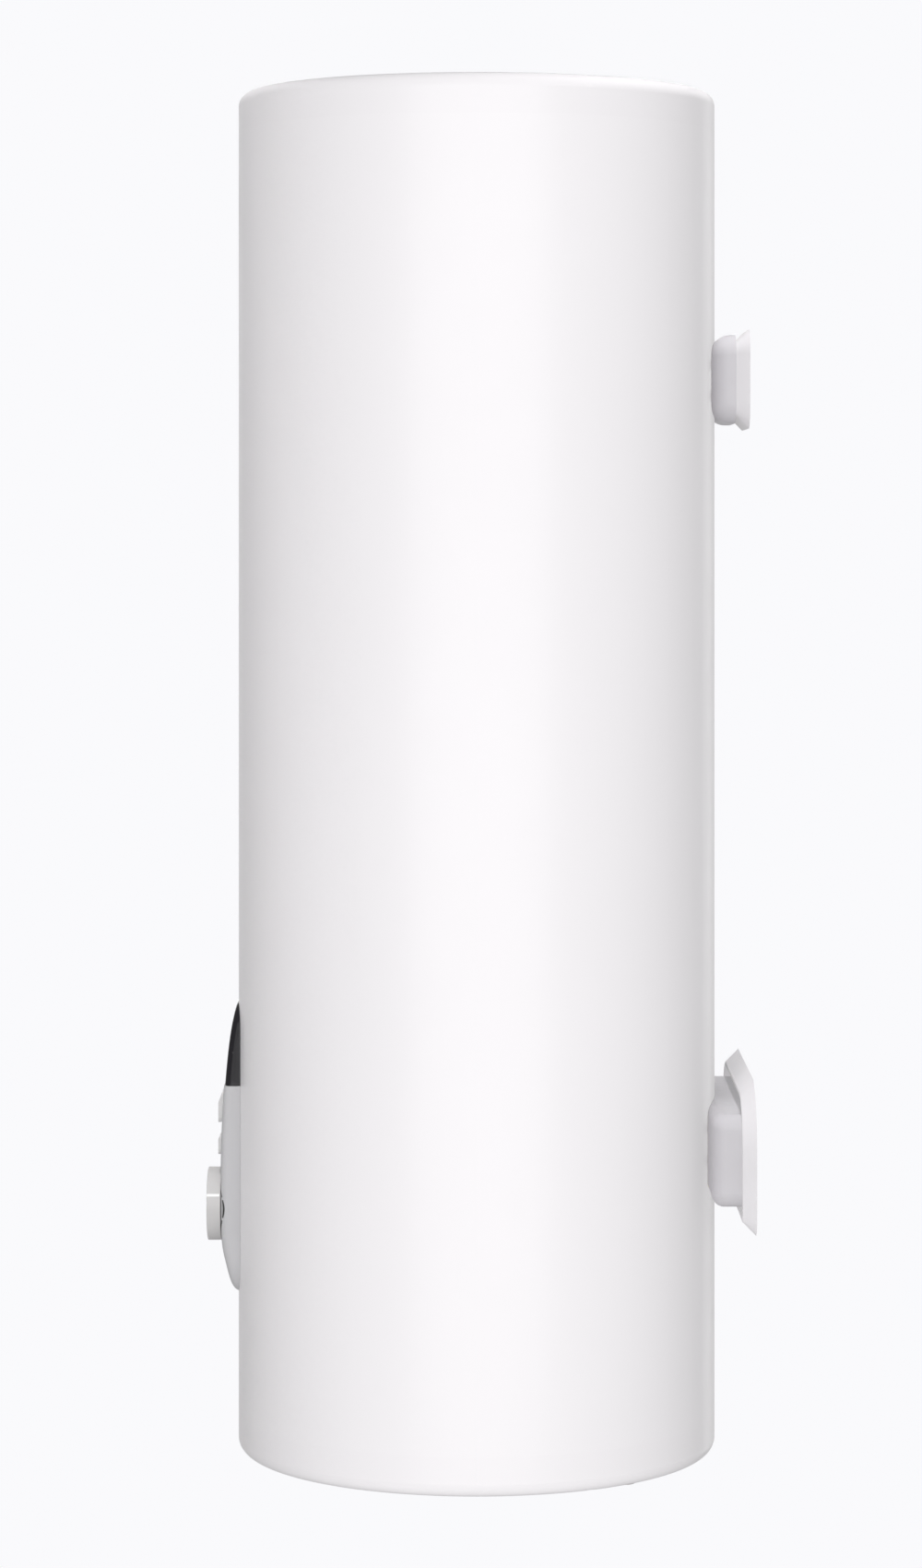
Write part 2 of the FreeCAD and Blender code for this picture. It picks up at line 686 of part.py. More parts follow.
def make_foam(parts):
    foam_r = CASING_R - SHEET
    inside_r = foam_r - SPIGOT_WALL
    step = HEIGHT - CAP_SKIRT - SPIGOT_LEN
    top = HEIGHT - CAP_WALL - FOAM_SKIN_GAP
    shoulder = HEIGHT - EDGE_R - FOAM_SHOULDER_DROP
    outline = [
        rz(0, FOAM_FLOOR), rz(foam_r, FOAM_FLOOR), rz(foam_r, step), rz(inside_r, step),
        rz(inside_r, shoulder), rz(inside_r - FOAM_SHOULDER, top), rz(0, top), rz(0, FOAM_FLOOR),
    ]
    foam = Part.Face(Part.makePolygon(outline)).revolve(V(0, AXIS_Y, 0), Z_DIR, 360)
    foam = foam.cut(tank_envelope(0))
    foam = foam.cut(cyl(RIM_R + OVER, 0, TANK_LOW + RIM_ROOM))
    foam = foam.cut(front_window(0))
    foam = foam.cut(cyl(DUCT_R, 0, TRAY_LOW + OVER, 0, DUCT_Y))
    for x, y in pipe_places().values():
        foam = foam.cut(cyl(PIPE_R, 0, PIPE_TOP, x, y))
    for bracket in (UPPER, LOWER):
        foam = foam.cut(collar_block(bracket, -WINDOW_GAP))
        foam = foam.cut(stud_set(bracket))
    parts["foam_insulation"] = foam


# ---------------------------------------------------------------- wall brackets
def flared_plate(bracket):
    """Flat web on the wall with a rim that leans in by 45 degrees towards the tank."""
    z = bracket["z"]
    low = z - bracket["down"]
    high = z + bracket["up"]
    half = bracket["plate_half"]
    corner = bracket["corner"]
    foot = bracket["foot_corner"]

    def frustum(inset, depth):
        back = rounded_outline(half - inset, low + inset, high - inset, corner - inset, 0,
                               foot - inset)
        lean = inset + depth
        front = rounded_outline(half - lean, low + lean, high - lean, corner - lean, -depth,
                                foot - lean)
        return Part.makeLoft([back, front], True, True)

    wall_inset = BRACKET_T * (math.sqrt(2) - 1)
    hollow = frustum(BRACKET_T + wall_inset, FLARE + OVER)
    web = Part.makeBox(2 * half, BRACKET_T, high - low, V(-half, -BRACKET_T, low))
    hollow = hollow.cut(web)
    plate = frustum(0, FLARE).cut(hollow)
    for sign in (-1, 1):
        plate = plate.cut(wall_slot(sign * bracket["slot_x"], z))
    return plate


def wall_slot(x, z):
    """Cutter for one horizontal slot through a plate's web."""
    reach = SLOT_LEN / 2 - SLOT_R
    start = -BRACKET_T - OVER
    depth = BRACKET_T + 2 * OVER
    ends = []
    for sign in (-1, 1):
        ends.append(Part.makeCylinder(SLOT_R, depth, V(x + sign * reach, start, z), Y_DIR))
    middle = Part.makeBox(2 * reach, depth, 2 * SLOT_R, V(x - reach, start, z - SLOT_R))
    return fuse_all([ends[0], ends[1], middle])


def collar_block(bracket, inset, back_extra=0.0):
    """Solid of a bracket's collar, shrunk by inset, with its tank-side edges rounded."""
    half_h = bracket["collar_half_h"] - inset
    front = AXIS_Y + bracket["collar_front"] + inset
    back = -bracket["collar_back"] + back_extra
    z = bracket["z"]
    outline = rounded_outline(bracket["collar_half"] - inset, z - half_h, z + half_h,
                              bracket["collar_corner"] - inset, front)
    block = Part.Face(outline).extrude(V(0, back - front, 0))
    front_edges = [edge for edge in block.Edges if edge.BoundBox.YMax < front + NEAR]
    return block.makeFillet(bracket["collar_r"] - inset, front_edges)


def collar_shell(bracket):
    """Pressed collar, open towards the wall, with an inward lip where the plate is narrower."""
    shell = collar_block(bracket, 0).cut(collar_block(bracket, BRACKET_T, BRACKET_T + OVER))
    lip = bracket["lip"]
    if lip == 0:
        return shell
    half = bracket["collar_half"]
    half_h = bracket["collar_half_h"]
    low = bracket["z"] - half_h
    back = -bracket["collar_back"]
    ring = Part.makeBox(2 * half, BRACKET_T, 2 * half_h, V(-half, back - BRACKET_T, low))
    mouth = Part.makeBox(2 * (half - lip), 2 * BRACKET_T, 2 * (half_h - lip),
                         V(lip - half, back - 1.5 * BRACKET_T, low + lip))
    ring = ring.common(collar_block(bracket, 0)).cut(mouth)
    return shell.fuse(ring).removeSplitter()


def stud_places(bracket):
    places = []
    for x in (-bracket["stud_x"], bracket["stud_x"]):
        for dz in (-STUD_Z, STUD_Z):
            places.append((x, bracket["z"] + dz))
    return places


def stud_set(bracket):
    """Curved pad welded on the tank with the studs that carry one bracket."""
    z = bracket["z"] - BOTTOM_Z
    pad = tube(TANK_R + PAD_T, TANK_R, z - PAD_HALF_H, z + PAD_HALF_H)
    pad = pad.common(box(-PAD_HALF_W, PAD_HALF_W, 0, TANK_R + PAD_REACH, z - PAD_HALF_H,
                         z + PAD_HALF_H))
    pieces = [pad]
    tip = bracket["collar_front"] + BRACKET_T + STUD_PROUD
    for x, stud_z in stud_places(bracket):
        start = math.sqrt(TANK_R ** 2 - x ** 2) + PAD_T / 2
        pieces.append(cyl_y(M8_R, start, tip, x, stud_z - BOTTOM_Z))
    return fuse_all(pieces)


def make_brackets(parts):
    nuts = []
    for name, bracket in (("upper", UPPER), ("lower", LOWER)):
        collar = collar_shell(bracket)
        seat = AXIS_Y + bracket["collar_front"] + BRACKET_T
        for x, z in stud_places(bracket):
            hole = Part.makeCylinder(M8_R, 2 * STUD_PROUD, V(x, seat - STUD_PROUD, z), Y_DIR)
            collar = collar.cut(hole)
            nut = hexagon_y(M8_HEAD_R, seat, seat + M8_NUT_H, x, z)
            nuts.append(nut.cut(hole))
        parts[name + "_collar"] = collar
        parts[name + "_wall_plate"] = flared_plate(bracket)
        parts[name + "_tank_studs"] = stud_set(bracket)
    parts["bracket_nuts"] = Part.makeCompound(nuts)


# ---------------------------------------------------------------- control panel
def panel_block(inset):
    """Solid of the panel in front of the casing, shrunk by inset, its front edge rounded."""
    points = []
    for height, stand in PANEL_PROFILE:
        points.append(at_axis(0, -(CASING_R + stand - inset), height))
    curve = Part.BSplineCurve()
    curve.interpolate(points)
    front_top = points[-1]
    front_low = points[0]
    skin = AXIS_Y - CASING_R
    back = skin + PANEL_INTO_CASING
    side = Part.Wire([
        curve.toShape(),
        line(front_top, V(0, back, front_top.z)),
        line(V(0, back, front_top.z), V(0, back, front_low.z)),
        line(V(0, back, front_low.z), front_low),
    ])
    slab_half = PANEL_HALF + PANEL_MARGIN
    slab = Part.Face(side).extrude(V(2 * slab_half, 0, 0))
    slab.translate(V(-slab_half, 0, 0))
    outline = rounded_outline(PANEL_HALF - inset, BOTTOM_Z + PANEL_LOW + inset,
                              BOTTOM_Z + PANEL_TOP - inset, PANEL_CORNER - inset,
                              skin - FAR / 2)
    block = slab.common(Part.Face(outline).extrude(V(0, FAR, 0)))
    front_edges = [edge for edge in block.Edges if edge.BoundBox.YMax < skin + OVER]
    return block.makeFillet(PANEL_FILLET - inset, front_edges)


def button_outline(button, gap):
    """Outline of a button or, with a gap, of its opening, well in front of the panel."""
    return rounded_outline(BUTTON_HALF + gap, BOTTOM_Z + button["low"] - gap,
                           BOTTOM_Z + button["high"] + gap, BUTTON_CORNER + gap,
                           AXIS_Y - CASING_R - 2 * FAR / 3)


def make_panel(parts):
    casing_solid = cyl(CASING_R, PANEL_LOW - FAR, PANEL_TOP + FAR)
    in_front = -CASING_R - FAR
    shell = panel_block(0).cut(panel_block(PANEL_WALL)).cut(casing_solid)
    housing = shell.common(box(-FAR, FAR, in_front, 0, PANEL_LOW - FAR, LENS_LOW))
    housing = housing.cut(cyl_y(HUB_R + HUB_HOLE_GAP, in_front, -CASING_R, 0, KNOB_Z))
    screws = []
    for x in (-PANEL_SCREW_X, PANEL_SCREW_X):
        boss = cyl_y(BOSS_R, -CASING_R - BOSS_STAND, -BOARD_FRONT - BOSS_TO_BOARD, x, KNOB_Z)
        hole = cyl_y(SCREW_R, in_front, 0, x, KNOB_Z)
        recess = cyl_y(SCREW_HEAD_R + SCREW_HEAD_GAP, in_front, SCREW_SEAT_Y, x, KNOB_Z)
        housing = housing.fuse(boss).cut(hole).cut(recess)
        tip = -TRAY_BACK - TRAY_WALL - PANEL_SCREW_BITE
        shank = cyl_y(SCREW_R, SCREW_SEAT_Y, tip, x, KNOB_Z)
        head = cyl_y(SCREW_HEAD_R, SCREW_SEAT_Y - SCREW_HEAD_T, SCREW_SEAT_Y, x, KNOB_Z)
        screws.append(shank.fuse(head))
    for button in BUTTONS.values():
        outline = button_outline(button, BUTTON_GAP)
        housing = housing.cut(Part.Face(outline).extrude(V(0, FAR, 0)))
    parts["panel_housing"] = housing.removeSplitter()
    parts["panel_screws"] = Part.makeCompound(screws)
    lens = panel_block(LENS_RECESS).cut(panel_block(LENS_RECESS + PANEL_WALL))
    above = box(-FAR, FAR, in_front, 0, LENS_LOW + SEAM, PANEL_TOP + FAR)
    parts["display_lens"] = lens.cut(casing_solid).common(above)


def make_buttons(parts):
    face = -(CASING_R + BUTTON_STAND)
    top_face = -(CASING_R + BUTTON_TOP_STAND)
    switches = []
    for name, button in BUTTONS.items():
        low = button["low"]
        high = button["high"]
        flange = -button["flange"]
        side = Part.makePolygon([
            at_axis(0, flange, low), at_axis(0, face, low), at_axis(0, face, button["bevel"]),
            at_axis(0, top_face, high), at_axis(0, flange, high), at_axis(0, flange, low),
        ])
        body = Part.Face(side).extrude(V(2 * BUTTON_HALF, 0, 0))
        body.translate(V(-BUTTON_HALF, 0, 0))
        prism = Part.Face(button_outline(button, 0)).extrude(V(0, FAR, 0))
        lip_half = BUTTON_HALF + BUTTON_LIP
        lip = box(-lip_half, lip_half, flange, flange + BUTTON_LIP_T, low - BUTTON_LIP,
                  high + BUTTON_LIP)
        middle = (low + high) / 2
        stem_end = -(BOARD_FRONT + SWITCH_H + STEM_GAP)
        stem = box(-STEM_HALF, STEM_HALF, flange, stem_end, middle - STEM_HALF,
                   middle + STEM_HALF)
        parts[name] = fuse_all([body.common(prism), lip, stem])
        switches.append(box(-SWITCH_HALF, SWITCH_HALF, -BOARD_FRONT - SWITCH_H, -BOARD_FRONT,
                            middle - SWITCH_HALF, middle + SWITCH_HALF))
    parts["button_switches"] = Part.makeCompound(switches)


def knob_envelope(grow):
    """Outer form of the knob, grown all over by a margin."""
    body = cyl_y(KNOB_R + grow, -KNOB_FRONT - grow, -KNOB_BACK, 0, KNOB_Z)
    front = AXIS_Y - KNOB_FRONT - grow
    rim = [edge for edge in body.Edges if edge.BoundBox.YMax < front + NEAR]
    return body.makeFillet(KNOB_BEVEL + grow, rim)


def make_knob(parts):
    reach = box(-POINTER_HALF, POINTER_HALF, -KNOB_FRONT - OVER, -KNOB_BACK - OVER,
                KNOB_Z + POINTER_START, KNOB_Z + KNOB_R + OVER)
    pointer = reach.common(knob_envelope(POINTER_PROUD)).cut(knob_envelope(-POINTER_DEPTH))
    pointer.rotate(at_axis(0, 0, KNOB_Z), Y_DIR, POINTER_DEG)
    face_back = -KNOB_FRONT + KNOB_WALL
    inner = cyl_y(KNOB_R - KNOB_WALL, face_back, -KNOB_BACK + OVER, 0, KNOB_Z)
    hub = cyl_y(HUB_R, face_back - HUB_OVERLAP, -KNOB_BACK + HUB_PAST_RIM, 0, KNOB_Z)
    bore = cyl_y(SHAFT_R, face_back, 0, 0, KNOB_Z)
    parts["control_knob"] = knob_envelope(0).cut(inner).fuse(hub).cut(bore).cut(pointer)
    parts["knob_pointer"] = pointer
    encoder_front = -BOARD_FRONT - ENCODER_H
    parts["encoder_shaft"] = cyl_y(SHAFT_R, face_back, encoder_front + ENCODER_GRIP, 0, KNOB_Z)
    body = box(-ENCODER_HALF, ENCODER_HALF, encoder_front, -BOARD_FRONT, KNOB_Z - ENCODER_HALF,
               KNOB_Z + ENCODER_HALF)
    well = cyl_y(SHAFT_R + SHAFT_CLEARANCE, encoder_front - OVER, encoder_front + ENCODER_WELL,
                 0, KNOB_Z)
    parts["rotary_encoder"] = body.cut(well)


# ---------------------------------------------------------------- electronics and wiring
def make_electronics(parts):
    w = TRAY_WALL
    floor_y = -TRAY_BACK - w
    outer = box(-TRAY_HALF, TRAY_HALF, -TRAY_FRONT, -TRAY_BACK, TRAY_LOW, TRAY_TOP)
    inner = box(-TRAY_HALF + w, TRAY_HALF - w, -TRAY_FRONT - OVER, floor_y, TRAY_LOW + w,
                TRAY_TOP - w)
    tray = outer.cut(inner)
    board_back = -BOARD_FRONT + BOARD_T
    board = box(-BOARD_HALF, BOARD_HALF, -BOARD_FRONT, board_back, BOARD_LOW, BOARD_TOP)
    screws = []
    for x in (-BOARD_HOLE_X, BOARD_HOLE_X):
        for z in BOARD_HOLE_Z:
            tray = tray.fuse(cyl_y(TRAY_POST_R, board_back, floor_y, x, z))
            tray = tray.cut(cyl_y(SCREW_R, board_back - OVER, floor_y, x, z))
            board = board.cut(cyl_y(SCREW_R, -BOARD_FRONT - OVER, board_back + OVER, x, z))
            shank = cyl_y(SCREW_R, -BOARD_FRONT, floor_y - SCREW_BITE, x, z)
            head = cyl_y(BOARD_HEAD_R, -BOARD_FRONT - BOARD_HEAD_H, -BOARD_FRONT, x, z)
            screws.append(shank.fuse(head))
    for x in (-PANEL_SCREW_X, PANEL_SCREW_X):
        hole = cyl_y(SCREW_R + HUB_HOLE_GAP, -BOARD_FRONT - OVER, board_back + OVER, x, KNOB_Z)
        board = board.cut(hole)
        tray = tray.fuse(cyl_y(TRAY_POST_R, board_back + TRAY_POST_GAP, floor_y, x, KNOB_Z))
        tray = tray.cut(cyl_y(SCREW_R, board_back - OVER, floor_y, x, KNOB_Z))
    tray = tray.cut(cyl(DUCT_R, TRAY_LOW - OVER, TRAY_LOW + w + OVER, 0, DUCT_Y))
    parts["electronics_tray"] = tray
    parts["control_board"] = board
    parts["board_screws"] = Part.makeCompound(screws)
    for name, (x0, x1, z0, z1, height) in BOARD_BLOCKS.items():
        parts[name] = box(x0, x1, -BOARD_FRONT - height, -BOARD_FRONT, z0, z1)
    parts["filter_capacitor"] = cyl_y(CAPACITOR_R, -BOARD_FRONT - CAPACITOR_H, -BOARD_FRONT,
                                      CAPACITOR_X, CAPACITOR_Z)


def make_control_cable(parts):
    parts["cable_duct"] = tube(DUCT_R, DUCT_BORE, FOAM_FLOOR - DUCT_BELOW_FOAM,
                               TRAY_LOW + TRAY_WALL, 0, DUCT_Y)
    parts["control_cable"] = swept_rod([
        at_axis(0, -CABLE_START, CABLE_LOW), at_axis(0, CABLE_Y, CABLE_LOW),
        at_axis(0, CABLE_Y, CABLE_TOP)], CABLE_R, CABLE_BEND)


def make_terminals(parts):
    middle = (BLOCK_FRONT + BLOCK_BACK) / 2
    block = box(-BLOCK_HALF, BLOCK_HALF, BLOCK_FRONT, BLOCK_BACK, CAP_WALL, BLOCK_TOP)
    screws = []
    for x in (-TERMINAL_X, 0.0, TERMINAL_X):
        block = block.cut(cyl(TERMINAL_R, TERMINAL_LOW, BLOCK_TOP + OVER, x, middle))
        screws.append(cyl(TERMINAL_R, TERMINAL_LOW, TERMINAL_HIGH, x, middle))
    parts["terminal_block"] = block
    parts["terminal_screws"] = Part.makeCompound(screws)


def make_gland(parts):
    hexagon_part = hexagon(GLAND_BODY_R, -GLAND_FLANGE, 0, 0, GLAND_Y)
    thread = cyl(GLAND_THREAD_R, -OVER, GLAND_THREAD_TOP, 0, GLAND_Y)
    dome = cyl(GLAND_DOME_R, -GLAND_DROP, -GLAND_FLANGE, 0, GLAND_Y)
    bore = cyl(GLAND_BORE, -GLAND_DROP - OVER, GLAND_THREAD_TOP + OVER, 0, GLAND_Y)
    gland = hexagon_part.fuse(thread).fuse(dome)
    parts["cable_gland"] = gland.cut(bore).removeSplitter()
    nut = hexagon(GLAND_BODY_R, CAP_WALL, CAP_WALL + GLAND_FLANGE, 0, GLAND_Y)
    parts["gland_nut"] = nut.cut(cyl(GLAND_THREAD_R, 0, GLAND_THREAD_TOP, 0, GLAND_Y))


def make_wires(parts):
    """Two live wires to the elements and an earth wire to the cut-out."""
    wires = []
    for sign in (-1, 1):
        x = sign * TERMINAL_X
        leg_x = sign * ELEMENT_HALF
        wires.append(swept_rod([
            at_axis(x, WIRE_START, WIRE_LOW), at_axis(x, 70, WIRE_LOW),
            at_axis(leg_x, 40, 13), at_axis(leg_x, 30, 24)], WIRE_R, WIRE_BEND))
    wires.append(swept_rod([
        at_axis(0, WIRE_START, WIRE_LOW), at_axis(0, 60, WIRE_LOW), at_axis(0, -14, 14),
        at_axis(12, -32, 18)], WIRE_R, EARTH_BEND))
    parts["internal_wires"] = Part.makeCompound(wires)


# ---------------------------------------------------------------- build and write
def build_parts():
    parts = {}
    make_tank(parts)
    make_flange(parts)
    make_heating(parts)
    make_cutout(parts)
    make_pipes(parts)
    make_caps(parts)
    make_service_cover(parts)
    make_casing(parts)
    make_foam(parts)
    make_brackets(parts)
    make_panel(parts)
    make_buttons(parts)
    make_knob(parts)
    make_electronics(parts)
    make_control_cable(parts)
    make_terminals(parts)
    make_gland(parts)
    make_wires(parts)
    return parts


def main():
    os.makedirs("parts", exist_ok=True)
    parts = build_parts()
    for name, shape in parts.items():
        shape.exportStep("parts/" + name + ".step")
    print(len(parts), "nodes")


main()
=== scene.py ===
"""Looks of a slim wall-hung electric water heater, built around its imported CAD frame.

Metres, in the CAD's own frame: +Z up, +Y into the wall, the control panel facing -Y.
Places come from the CAD nodes' boxes, so every piece follows the frame.
"""

import json
import math

import bmesh
import bpy
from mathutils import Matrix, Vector


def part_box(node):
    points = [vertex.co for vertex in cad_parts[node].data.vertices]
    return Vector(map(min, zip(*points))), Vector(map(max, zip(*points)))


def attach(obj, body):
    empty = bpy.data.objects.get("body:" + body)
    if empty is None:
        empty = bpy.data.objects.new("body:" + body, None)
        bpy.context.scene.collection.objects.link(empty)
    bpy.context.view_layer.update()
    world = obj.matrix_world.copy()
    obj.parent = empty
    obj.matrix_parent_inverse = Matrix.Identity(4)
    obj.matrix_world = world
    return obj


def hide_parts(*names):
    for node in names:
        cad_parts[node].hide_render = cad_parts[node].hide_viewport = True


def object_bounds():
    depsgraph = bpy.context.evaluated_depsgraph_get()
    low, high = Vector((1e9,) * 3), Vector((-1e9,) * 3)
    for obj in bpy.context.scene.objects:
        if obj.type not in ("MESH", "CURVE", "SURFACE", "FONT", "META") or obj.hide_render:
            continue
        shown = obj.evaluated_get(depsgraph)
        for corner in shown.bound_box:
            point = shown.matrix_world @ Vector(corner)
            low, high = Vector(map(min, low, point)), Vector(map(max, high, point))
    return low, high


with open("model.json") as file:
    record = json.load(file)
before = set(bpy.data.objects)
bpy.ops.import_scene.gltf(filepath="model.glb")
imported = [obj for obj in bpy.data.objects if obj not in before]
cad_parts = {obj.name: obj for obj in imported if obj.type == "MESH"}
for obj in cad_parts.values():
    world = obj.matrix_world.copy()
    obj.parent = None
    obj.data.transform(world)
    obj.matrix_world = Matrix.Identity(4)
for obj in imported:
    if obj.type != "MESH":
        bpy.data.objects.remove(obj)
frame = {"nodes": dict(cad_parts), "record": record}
CAD_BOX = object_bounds()

MM = 0.001
BODY = "heater"

# ---------------------------------------------------------------- places taken from the frame
CASING_LOW, CASING_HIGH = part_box("outer_casing")
CASING_R = (CASING_HIGH.x - CASING_LOW.x) / 2
AXIS_Y = CASING_LOW.y + CASING_R
BASE_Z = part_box("bottom_cap")[0].z
TOP_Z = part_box("top_cap")[1].z
KNOB_LOW, KNOB_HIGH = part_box("control_knob")
KNOB_Z = (KNOB_LOW.z + KNOB_HIGH.z) / 2
KNOB_R = (KNOB_HIGH.x - KNOB_LOW.x) / 2
KNOB_FRONT = KNOB_LOW.y
HUB_BACK = KNOB_HIGH.y
LENS_LOW, LENS_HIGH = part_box("display_lens")

# ---------------------------------------------------------------- shapes of the detailed pieces
POINTER_DEG = 69.0         # clockwise from the top, seen from the front
KNOB_SKIRT = 10.4 * MM     # depth of the knob's outer wall
KNOB_BEVEL = 0.8 * MM
KNOB_DISH = 0.5 * MM
SCALE_R = 29.9 * MM        # printed scale's middle radius
SCALE_SEGMENTS = 9
SCALE_SWEEP = 270.0
SCALE_THIN = 0.35 * MM
SCALE_WIDE = 1.15 * MM
PRINT_LIFT = 0.06 * MM
PRINT_T = 0.05 * MM
RAY_START = 0.05           # how far in front of the object the print is dropped from
SCALE_GAP_DEG = 4.0        # between two bars of the scale
ICON_LINE_HALF = 0.35 * MM
ICON_SHARE = 0.40          # icon's height up its button
POWER_ICON_R = 3.4 * MM
POWER_BAR_RISE = 2.6 * MM
POWER_BAR = (0.7 * MM, 3.6 * MM)
WAVE_W = 9.0 * MM
WAVE_H = 1.5 * MM
DIGIT_W = 6.2 * MM
DIGIT_H = 11.0 * MM
DIGIT_STROKE = 1.1 * MM
DIGIT_SLANT = 0.09
DIGIT_PLACES = (-8.0 * MM, 2.0 * MM)
DIGIT_SHARE = 0.36         # digits' middle height up the lens
DEGREE_X = 10.0 * MM
DEGREE_RING = (0.7 * MM, 1.3 * MM)
DOT_X = -9.0 * MM
DOT_SHARES = (0.66, 0.75, 0.84)
DOT_R = 0.9 * MM
KNOB_WALL = 2.4 * MM
FACE_SLOPE = 0.75          # where the dished face starts to rise, as a share of the radius
FACE_RIM = 0.90            # where it meets the flat rim
KNOB_HUB_R = 6.0 * MM
KNOB_SHAFT_R = 3.0 * MM
POINTER_HALF = 1.0 * MM
POINTER_PROUD = 0.09 * MM
POINTER_SUNK = 0.5 * MM
POINTER_END = 0.6 * MM     # short of the knob's skirt edge
NIPPLE_BORE = 7.5 * MM
NIPPLE_CHAMFER = 0.6 * MM
NIPPLE_THREAD_STEP = 0.5 * MM
NIPPLE_THREAD_L = 14.0 * MM
SEAM_HALF = 5.0 * MM
SEAM_PROUD = 0.7 * MM
SEAM_SUNK = 0.2 * MM
SEAM_ROUND = 1.4 * MM
SEAM_MARGIN = 1.0 * MM
THREAD_PITCH = 1.814 * MM
THREAD_DEPTH = 1.1 * MM
SEAM_DEG = 115.0           # from +X towards the wall
# Pieces whose contact shadows are kept soft: they block lamps, but not the surround's light.
SOFTLY_LIT = ("upper_collar", "lower_collar", "upper_wall_plate", "lower_wall_plate")
EDGE_HIGHLIGHT_FROM = 0.52           # sharpness of an edge where the painted edge highlight starts
EDGE_HIGHLIGHT_TO = 0.62
EDGE_HIGHLIGHT_LIGHTER = 0.35        # how far the painted edge highlight lightens an edge towards white


# ---------------------------------------------------------------- materials
def node_after(tree, kind, x, y):
    node = tree.nodes.new(kind)
    node.location = (x, y)
    return node


def noise(tree, coords, scale, detail, x, y):
    node = node_after(tree, "ShaderNodeTexNoise", x, y)
    node.inputs["Scale"].default_value = scale
    node.inputs["Detail"].default_value = detail
    node.inputs["Roughness"].default_value = 0.55
    tree.links.new(coords, node.inputs["Vector"])
    return node


def spread(tree, source, low, high, x, y):
    """Maps a noise's middle range to low..high."""
    node = node_after(tree, "ShaderNodeMapRange", x, y)
    node.inputs["From Min"].default_value = 0.3
    node.inputs["From Max"].default_value = 0.7
    node.inputs["To Min"].default_value = low
    node.inputs["To Max"].default_value = high
    tree.links.new(source, node.inputs["Value"])
    return node


def finish_material(name, colour, roughness, metallic=0.0, variation=0.02, rough_spread=0.04,
                    patch=9.0, grain=900.0, bump=0.02, coat=0.0, coat_roughness=0.1,
                    specular=0.5, stretch=(1.0, 1.0, 1.0), dirt=None, edge_highlight=0.10):
    """Procedural finish: soft patches of tone, uneven gloss, a painted highlight on sharp edges and a
    fine grain.
    """
    material = bpy.data.materials.new(name)
    material.use_nodes = True
    tree = material.node_tree
    shader = tree.nodes["Principled BSDF"]
    coords = node_after(tree, "ShaderNodeTexCoord", -1300, 0)
    mapping = node_after(tree, "ShaderNodeMapping", -1100, 0)
    mapping.inputs["Scale"].default_value = stretch
    tree.links.new(coords.outputs["Object"], mapping.inputs["Vector"])
    vector = mapping.outputs["Vector"]

    tone = noise(tree, vector, patch, 4.0, -850, 300)
    ramp = node_after(tree, "ShaderNodeMix", -350, 300)
    ramp.data_type = "RGBA"
    share = spread(tree, tone.outputs["Fac"], 0.0, 1.0, -600, 300)
    tree.links.new(share.outputs["Result"], ramp.inputs["Factor"])
    darker = [max(0.0, c * (1 - variation)) for c in colour]
    lighter = [min(1.0, c * (1 + variation)) for c in colour]
    ramp.inputs["A"].default_value = (*darker, 1)
    ramp.inputs["B"].default_value = (*lighter, 1)
    colour_out = ramp.outputs["Result"]
    if dirt is not None:
        grime = noise(tree, vector, patch * 3.7, 6.0, -850, 600)
        amount = spread(tree, grime.outputs["Fac"], 0.0, dirt[1], -600, 600)
        mix = node_after(tree, "ShaderNodeMix", -150, 420)
        mix.data_type = "RGBA"
        tree.links.new(amount.outputs["Result"], mix.inputs["Factor"])
        tree.links.new(colour_out, mix.inputs["A"])
        mix.inputs["B"].default_value = (*dirt[0], 1)
        colour_out = mix.outputs["Result"]

    # Painted highlight: sharp convex edges (Pointiness) are lightened towards white, as if they caught
    # the light.
    shape = node_after(tree, "ShaderNodeNewGeometry", -850, 900)
    edge_highlight_share = node_after(tree, "ShaderNodeMapRange", -600, 900)
    edge_highlight_share.inputs["From Min"].default_value = EDGE_HIGHLIGHT_FROM
    edge_highlight_share.inputs["From Max"].default_value = EDGE_HIGHLIGHT_TO
    edge_highlight_share.inputs["To Max"].default_value = edge_highlight
    tree.links.new(shape.outputs["Pointiness"], edge_highlight_share.inputs["Value"])
    edge = node_after(tree, "ShaderNodeMix", 0, 600)
    edge.data_type = "RGBA"
    tree.links.new(edge_highlight_share.outputs["Result"], edge.inputs["Factor"])
    tree.links.new(colour_out, edge.inputs["A"])
    edge.inputs["B"].default_value = (*[c + (1 - c) * EDGE_HIGHLIGHT_LIGHTER for c in colour], 1)
    tree.links.new(edge.outputs["Result"], shader.inputs["Base Color"])

    gloss = noise(tree, vector, patch * 6.0, 3.0, -850, 0)
    rough = spread(tree, gloss.outputs["Fac"], roughness - rough_spread,
                   roughness + rough_spread, -600, 0)
    tree.links.new(rough.outputs["Result"], shader.inputs["Roughness"])

    fine = noise(tree, vector, grain, 2.0, -850, -300)
    relief = node_after(tree, "ShaderNodeBump", -400, -300)
    relief.inputs["Strength"].default_value = bump
    relief.inputs["Distance"].default_value = 0.2 * MM
    tree.links.new(fine.outputs["Fac"], relief.inputs["Height"])
    tree.links.new(relief.outputs["Normal"], shader.inputs["Normal"])

    shader.inputs["Metallic"].default_value = metallic
    shader.inputs["Coat Weight"].default_value = coat
    shader.inputs["Coat Roughness"].default_value = coat_roughness
    shader.inputs["Specular IOR Level"].default_value = specular
    return material


